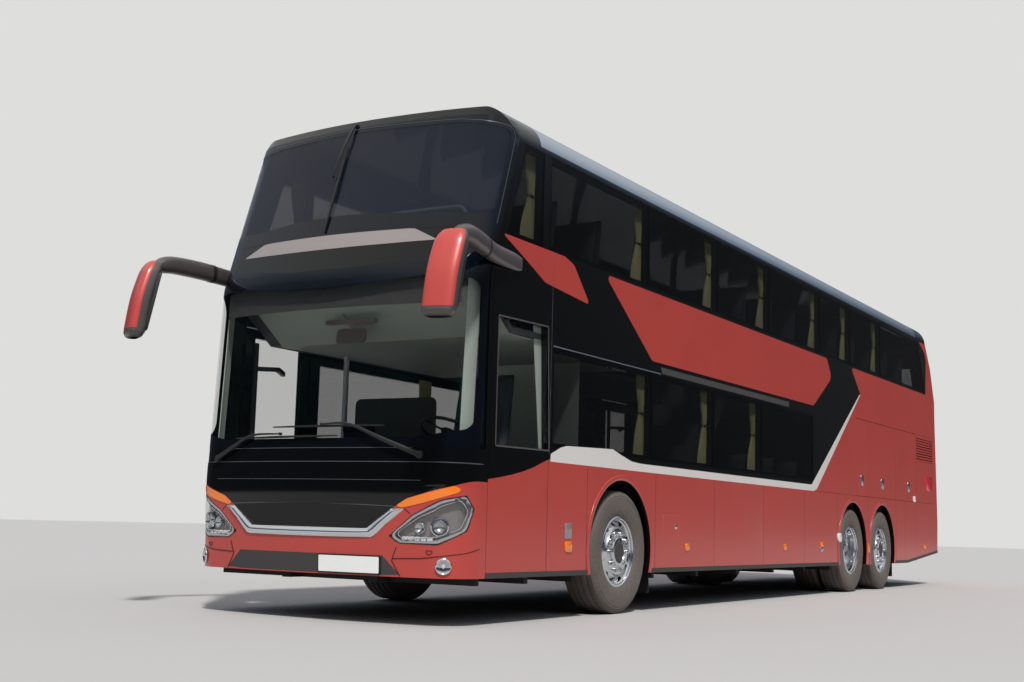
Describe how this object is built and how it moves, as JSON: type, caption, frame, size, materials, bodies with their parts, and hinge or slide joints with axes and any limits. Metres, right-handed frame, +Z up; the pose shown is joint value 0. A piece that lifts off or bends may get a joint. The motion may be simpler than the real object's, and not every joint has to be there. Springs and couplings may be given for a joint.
{
  "type": "double-deck touring coach",
  "caption": "Double-deck three-axle touring coach with steered front and rear axles, swinging doors, side flaps, engine lid and turning wheels",
  "frame": {"origin": "on the ground at the middle of the overall box, mirrors included", "axes": "+X forward, +Y to the driver's left, +Z up"},
  "size_m": [14.5398, 3.1478, 4],
  "materials": {
    "body_paint": "gloss",
    "black_panel": "gloss",
    "tinted_glass": "gloss",
    "windscreen_glass": "gloss",
    "chrome_trim": "polished",
    "bright_aluminium": "polished",
    "tyre_rubber": "matt",
    "lamp_lens": "gloss",
    "red_lens": "gloss",
    "grey_plastic": "satin",
    "under_paint": "satin",
    "floor_covering": "matt",
    "dark_plastic": "satin",
    "seat_fabric": "matt",
    "curtain_fabric": "matt",
    "steel_tube": "satin",
    "engine_iron": "matt"
  },
  "bodies": {
    "coach_body": {"side_wall_left": "body_paint", "side_wall_right": "body_paint", "roof": "body_paint", "rear_wall": "body_paint", "front_bumper": "body_paint", "front_mask": "black_panel", "windscreens": "windscreen_glass", "side_glass_left": "tinted_glass", "side_glass_right": "tinted_glass", "rear_window": "tinted_glass", "chrome_bar": "chrome_trim", "roof_trim": "bright_aluminium", "headlamps": "lamp_lens", "tail_lamps": "red_lens", "bumper_grille": "grey_plastic", "mirrors": "grey_plastic", "wipers": "dark_plastic", "guard_rail": "steel_tube", "chassis_frame": "under_paint", "axles": "under_paint", "wheel_boxes": "under_paint", "lower_floor": "floor_covering", "upper_floor": "floor_covering", "stairs": "floor_covering", "seats": "seat_fabric", "curtains": "curtain_fabric", "dashboard": "dark_plastic", "engine": "engine_iron"},
    "steering_knuckle_front_left": {"knuckle_front_left": "under_paint"},
    "wheel_front_left": {"rim_front_left": "bright_aluminium", "tyre_front_left": "tyre_rubber"},
    "steering_knuckle_front_right": {"knuckle_front_right": "under_paint"},
    "wheel_front_right": {"rim_front_right": "bright_aluminium", "tyre_front_right": "tyre_rubber"},
    "steering_knuckle_tag_left": {"knuckle_tag_left": "under_paint"},
    "wheel_tag_left": {"rim_tag_left": "bright_aluminium", "tyre_tag_left": "tyre_rubber"},
    "steering_knuckle_tag_right": {"knuckle_tag_right": "under_paint"},
    "wheel_tag_right": {"rim_tag_right": "bright_aluminium", "tyre_tag_right": "tyre_rubber"},
    "wheel_drive_left": {"rim_drive_left": "bright_aluminium", "tyre_drive_left": "tyre_rubber"},
    "wheel_drive_right": {"rim_drive_right": "bright_aluminium", "tyre_drive_right": "tyre_rubber"},
    "steering_wheel": {"steering_wheel": "dark_plastic"},
    "door_arm_front": {"door_arm_front": "under_paint"},
    "door_front": {"door_front": "body_paint", "door_glass_front": "tinted_glass"},
    "door_arm_rear": {"door_arm_rear": "under_paint"},
    "door_rear": {"door_rear": "body_paint", "door_glass_rear": "tinted_glass"},
    "flap_left_1": {"flap_left_1": "body_paint"},
    "flap_left_2": {"flap_left_2": "body_paint"},
    "flap_left_3": {"flap_left_3": "body_paint"},
    "flap_right_1": {"flap_right_1": "body_paint"},
    "flap_right_2": {"flap_right_2": "body_paint"},
    "flap_right_3": {"flap_right_3": "body_paint"},
    "engine_lid": {"engine_lid": "body_paint"}
  },
  "joints": [
    {"name": "steer_front_left", "type": "hinge", "parent": "coach_body", "child": "steering_knuckle_front_left", "pos_m": [3.984, 1.014, 0.53], "axis": [0, 0, 1], "range_deg": [-45, 45]},
    {"name": "wheel_spin_front_left", "type": "hinge", "parent": "steering_knuckle_front_left", "child": "wheel_front_left", "pos_m": [3.984, 1.094, 0.53], "axis": [0, 1, 0], "continuous": true},
    {"name": "steer_front_right", "type": "hinge", "parent": "coach_body", "child": "steering_knuckle_front_right", "pos_m": [3.984, -1.014, 0.53], "axis": [0, 0, 1], "range_deg": [-45, 45]},
    {"name": "wheel_spin_front_right", "type": "hinge", "parent": "steering_knuckle_front_right", "child": "wheel_front_right", "pos_m": [3.984, -1.094, 0.53], "axis": [0, 1, 0], "continuous": true},
    {"name": "steer_tag_left", "type": "hinge", "parent": "coach_body", "child": "steering_knuckle_tag_left", "pos_m": [-4.066, 1.014, 0.53], "axis": [0, 0, 1], "range_deg": [-12, 12]},
    {"name": "wheel_spin_tag_left", "type": "hinge", "parent": "steering_knuckle_tag_left", "child": "wheel_tag_left", "pos_m": [-4.066, 1.094, 0.53], "axis": [0, 1, 0], "continuous": true},
    {"name": "steer_tag_right", "type": "hinge", "parent": "coach_body", "child": "steering_knuckle_tag_right", "pos_m": [-4.066, -1.014, 0.53], "axis": [0, 0, 1], "range_deg": [-12, 12]},
    {"name": "wheel_spin_tag_right", "type": "hinge", "parent": "steering_knuckle_tag_right", "child": "wheel_tag_right", "pos_m": [-4.066, -1.094, 0.53], "axis": [0, 1, 0], "continuous": true},
    {"name": "wheel_spin_drive_left", "type": "hinge", "parent": "coach_body", "child": "wheel_drive_left", "pos_m": [-2.716, 1.094, 0.53], "axis": [0, 1, 0], "continuous": true},
    {"name": "wheel_spin_drive_right", "type": "hinge", "parent": "coach_body", "child": "wheel_drive_right", "pos_m": [-2.716, -1.094, 0.53], "axis": [0, 1, 0], "continuous": true},
    {"name": "steering_wheel_turn", "type": "hinge", "parent": "coach_body", "child": "steering_wheel", "pos_m": [5.83, 0.65, 1.43], "axis": [-0.454, 0, 0.891], "range_deg": [-720, 720]},
    {"name": "door_swing_front", "type": "hinge", "parent": "coach_body", "child": "door_arm_front", "pos_m": [6.08, -1.15, 1.3], "axis": [0, 0, 1], "range_deg": [0, 139.54]},
    {"name": "door_leaf_front", "type": "hinge", "parent": "door_arm_front", "child": "door_front", "pos_m": [5.6626, -1.206, 1.3], "axis": [0, 0, 1], "range_deg": [-139.54, 0]},
    {"name": "door_swing_rear", "type": "hinge", "parent": "coach_body", "child": "door_arm_rear", "pos_m": [-0.45, -1.15, 1.3], "axis": [0, 0, 1], "range_deg": [0, 139.54]},
    {"name": "door_leaf_rear", "type": "hinge", "parent": "door_arm_rear", "child": "door_rear", "pos_m": [-0.8674, -1.206, 1.3], "axis": [0, 0, 1], "range_deg": [-139.54, 0]},
    {"name": "flap_swing_left_1", "type": "hinge", "parent": "coach_body", "child": "flap_left_1", "pos_m": [-3.1015, 1.275, 2.249], "axis": [1, 0, 0], "range_deg": [0, 90]},
    {"name": "flap_swing_left_2", "type": "hinge", "parent": "coach_body", "child": "flap_left_2", "pos_m": [-4.0415, 1.275, 2.249], "axis": [1, 0, 0], "range_deg": [0, 90]},
    {"name": "flap_swing_left_3", "type": "hinge", "parent": "coach_body", "child": "flap_left_3", "pos_m": [-5.2595, 1.275, 2.249], "axis": [1, 0, 0], "range_deg": [0, 90]},
    {"name": "flap_swing_right_1", "type": "hinge", "parent": "coach_body", "child": "flap_right_1", "pos_m": [-3.1015, -1.275, 2.249], "axis": [-1, 0, 0], "range_deg": [0, 90]},
    {"name": "flap_swing_right_2", "type": "hinge", "parent": "coach_body", "child": "flap_right_2", "pos_m": [-4.0415, -1.275, 2.249], "axis": [-1, 0, 0], "range_deg": [0, 90]},
    {"name": "flap_swing_right_3", "type": "hinge", "parent": "coach_body", "child": "flap_right_3", "pos_m": [-5.2595, -1.275, 2.249], "axis": [-1, 0, 0], "range_deg": [0, 90]},
    {"name": "engine_lid_swing", "type": "hinge", "parent": "coach_body", "child": "engine_lid", "pos_m": [-7.22038, 0, 1.814], "axis": [0, 1, 0], "range_deg": [0, 80]}
  ],
  "couplings": [
    {"joint": "steer_front_right", "follows": "steer_front_left", "ratio": 1},
    {"joint": "steer_tag_left", "follows": "steer_front_left", "ratio": -0.25},
    {"joint": "steer_tag_right", "follows": "steer_front_left", "ratio": -0.25},
    {"joint": "steering_wheel_turn", "follows": "steer_front_left", "ratio": 16},
    {"joint": "door_leaf_front", "follows": "door_swing_front", "ratio": -1},
    {"joint": "door_leaf_rear", "follows": "door_swing_rear", "ratio": -1}
  ]
}
